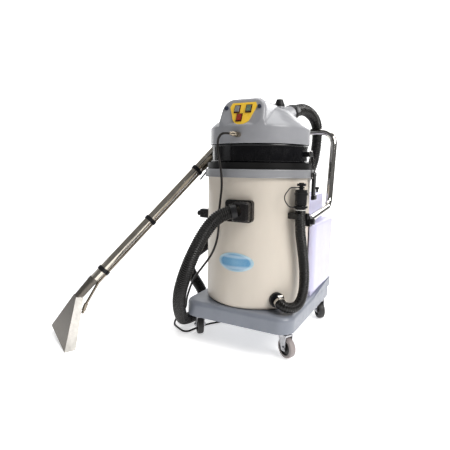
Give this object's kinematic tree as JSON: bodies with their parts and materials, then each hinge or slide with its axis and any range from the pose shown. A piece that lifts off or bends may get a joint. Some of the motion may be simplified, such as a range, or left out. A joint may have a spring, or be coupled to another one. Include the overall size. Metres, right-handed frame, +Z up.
{
  "type": "spot extractor",
  "caption": "Wheeled spray extractor with upright recovery tank, vacuum head, rear clean-water tank, push handle, hoses and a stowed floor wand.",
  "frame": {"origin": "centre of the floor area that the rigid pieces cover, at floor level", "axes": "+Z up, -Y the machine's front (control panel), +X the machine's right-hand side seen from the front, where the drain hose is; the wand leans at -X"},
  "size_m": [0.9429, 0.9561, 0.9276],
  "materials": {
    "base_plastic": "textured",
    "caster_steel": "zinc",
    "wheel_grey": "matt",
    "wheel_black": "matt",
    "tank_beige": "moulded",
    "head_grey": "textured",
    "band_black": "gloss",
    "lip_black": "matt",
    "panel_yellow": "satin",
    "switch_black": "satin",
    "rocker_clear": "translucent",
    "rocker_green": "translucent",
    "rocker_red": "translucent",
    "dark_plastic": "satin",
    "latch_black": "satin",
    "label_blue": "printed",
    "hose_black": "satin",
    "chrome": "polished",
    "wand_steel": "brushed",
    "clean_white": "moulded",
    "motor_alloy": "cast",
    "float_white": "moulded"
  },
  "bodies": {
    "machine": {"base_shell": "base_plastic", "caster_mounts": "caster_steel", "recovery_tank": "tank_beige", "tank_flange": "head_grey", "head_lip": "lip_black", "motor_band": "band_black", "head_cover": "head_grey", "control_panel": "panel_yellow", "switch_bezels": "switch_black", "head_buttons": "dark_plastic", "carry_grip": "dark_plastic", "motor_body": "motor_alloy", "float_cage": "lip_black", "inlet_plate": "dark_plastic", "hose_cuffs": "hose_black", "label_plate": "label_blue", "drain_elbow": "dark_plastic", "drain_clamp": "chrome", "drain_hose": "hose_black", "drain_cuff": "hose_black", "drain_clip": "dark_plastic", "handle_tube": "chrome", "handle_brackets": "dark_plastic", "latch_mounts": "band_black", "clean_tank": "clean_white", "vent_cap": "dark_plastic", "pump": "dark_plastic", "wand_nozzle": "wand_steel", "wand_tube": "chrome", "wand_bands": "dark_plastic", "wand_pipe": "wand_steel", "wand_valve": "dark_plastic", "wand_cuff": "hose_black", "solution_coupler": "dark_plastic", "vacuum_hose": "hose_black", "solution_hose": "hose_black"},
    "fork_fr": {"fork_fr": "caster_steel"},
    "wheel_fr": {"wheel_fr": "wheel_grey"},
    "fork_fl": {"fork_fl": "caster_steel"},
    "wheel_fl": {"wheel_fl": "wheel_black"},
    "fork_rr": {"fork_rr": "caster_steel"},
    "wheel_rr": {"wheel_rr": "wheel_black"},
    "fork_rl": {"fork_rl": "caster_steel"},
    "wheel_rl": {"wheel_rl": "wheel_black"},
    "rocker_vacuum": {"rocker_vacuum": "rocker_clear"},
    "rocker_pump": {"rocker_pump": "rocker_green"},
    "rocker_heater": {"rocker_heater": "rocker_red"},
    "latch_lever_right": {"latch_lever_right": "latch_black"},
    "latch_bail_right": {"latch_bail_right": "chrome"},
    "latch_lever_left": {"latch_lever_left": "latch_black"},
    "latch_bail_left": {"latch_bail_left": "chrome"},
    "drain_plug": {"drain_plug": "hose_black", "plug_strap": "hose_black"},
    "clean_cap": {"clean_cap": "dark_plastic"},
    "bleed_cap": {"bleed_cap": "dark_plastic"},
    "wand_trigger": {"wand_trigger": "dark_plastic"},
    "float_ball": {"float_ball": "float_white"},
    "motor_fan": {"motor_fan": "motor_alloy"},
    "handle_knob_right": {"handle_knob_right": "dark_plastic"},
    "handle_knob_left": {"handle_knob_left": "dark_plastic"}
  },
  "joints": [
    {"name": "swivel_fr", "type": "hinge", "parent": "machine", "child": "fork_fr", "pos_m": [0.4045, -0.0656, 0.09], "axis": [0, 0, 1], "continuous": true},
    {"name": "roll_fr", "type": "hinge", "parent": "fork_fr", "child": "wheel_fr", "pos_m": [0.41907, -0.07436, 0.0375], "axis": [0.515, 0.8572, 0], "continuous": true},
    {"name": "swivel_fl", "type": "hinge", "parent": "machine", "child": "fork_fl", "pos_m": [0.0565, -0.0656, 0.09], "axis": [0, 0, 1], "continuous": true},
    {"name": "roll_fl", "type": "hinge", "parent": "fork_fl", "child": "wheel_fl", "pos_m": [0.04535, -0.05277, 0.0375], "axis": [-0.7547, -0.6561, 0], "continuous": true},
    {"name": "swivel_rr", "type": "hinge", "parent": "machine", "child": "fork_rr", "pos_m": [0.4105, 0.3694, 0.09], "axis": [0, 0, 1], "continuous": true},
    {"name": "roll_rr", "type": "hinge", "parent": "fork_rr", "child": "wheel_rr", "pos_m": [0.42097, 0.356, 0.0375], "axis": [0.788, 0.6157, 0], "continuous": true},
    {"name": "swivel_rl", "type": "hinge", "parent": "machine", "child": "fork_rl", "pos_m": [0.0505, 0.3694, 0.09], "axis": [0, 0, 1], "continuous": true},
    {"name": "roll_rl", "type": "hinge", "parent": "fork_rl", "child": "wheel_rl", "pos_m": [0.04003, 0.3828, 0.0375], "axis": [-0.788, -0.6157, 0], "continuous": true},
    {"name": "press_vacuum", "type": "hinge", "parent": "machine", "child": "rocker_vacuum", "pos_m": [0.2125, -0.08188, 0.86133], "axis": [1, 0, 0], "range_deg": [0, 16]},
    {"name": "press_pump", "type": "hinge", "parent": "machine", "child": "rocker_pump", "pos_m": [0.2555, -0.08188, 0.86133], "axis": [1, 0, 0], "range_deg": [0, 16]},
    {"name": "press_heater", "type": "hinge", "parent": "machine", "child": "rocker_heater", "pos_m": [0.2255, -0.09387, 0.83166], "axis": [1, 0, 0], "range_deg": [0, 16]},
    {"name": "latch_right", "type": "hinge", "parent": "machine", "child": "latch_lever_right", "pos_m": [0.4435, 0.0894, 0.64], "axis": [0, -1, 0], "range_deg": [0, 100]},
    {"name": "bail_right", "type": "hinge", "parent": "latch_lever_right", "child": "latch_bail_right", "pos_m": [0.4435, 0.0894, 0.628], "axis": [0, -1, 0], "range_deg": [-100, 0]},
    {"name": "latch_left", "type": "hinge", "parent": "machine", "child": "latch_lever_left", "pos_m": [0.0175, 0.0894, 0.64], "axis": [0, 1, 0], "range_deg": [0, 45]},
    {"name": "bail_left", "type": "hinge", "parent": "latch_lever_left", "child": "latch_bail_left", "pos_m": [0.0175, 0.0894, 0.628], "axis": [0, 1, 0], "range_deg": [-45, 0]},
    {"name": "drain_plug_pull", "type": "slide", "parent": "machine", "child": "drain_plug", "axis": [0, 0, 1], "range_m": [0, 0.034]},
    {"name": "clean_cap_turn", "type": "hinge", "parent": "machine", "child": "clean_cap", "pos_m": [0.2305, 0.3334, 0.57], "axis": [0, 0, 1], "range_deg": [0, 90]},
    {"name": "bleed_cap_turn", "type": "hinge", "parent": "machine", "child": "bleed_cap", "pos_m": [0.2825, 0.1394, 0.905], "axis": [0, 0, 1], "range_deg": [0, 90]},
    {"name": "trigger_squeeze", "type": "hinge", "parent": "machine", "child": "wand_trigger", "pos_m": [0.01775, 0.09232, 0.67991], "axis": [-0.6754, 0.7098, -0.2002], "range_deg": [0, 5], "stiffness_Nm_per_rad": 0.6, "springref_deg": -8.02},
    {"name": "float_lift", "type": "slide", "parent": "machine", "child": "float_ball", "axis": [0, 0, 1], "range_m": [0, 0.042]},
    {"name": "fan_spin", "type": "hinge", "parent": "machine", "child": "motor_fan", "pos_m": [0.2305, 0.0774, 0.701], "axis": [0, 0, 1], "continuous": true},
    {"name": "knob_right", "type": "hinge", "parent": "machine", "child": "handle_knob_right", "pos_m": [0.4625, 0.0224, 0.477], "axis": [1, 0, 0], "continuous": true},
    {"name": "knob_left", "type": "hinge", "parent": "machine", "child": "handle_knob_left", "pos_m": [-0.0015, 0.0224, 0.477], "axis": [-1, 0, 0], "continuous": true}
  ],
  "couplings": [
    {"joint": "bail_right", "follows": "latch_right", "ratio": -1},
    {"joint": "bail_left", "follows": "latch_left", "ratio": -1}
  ]
}
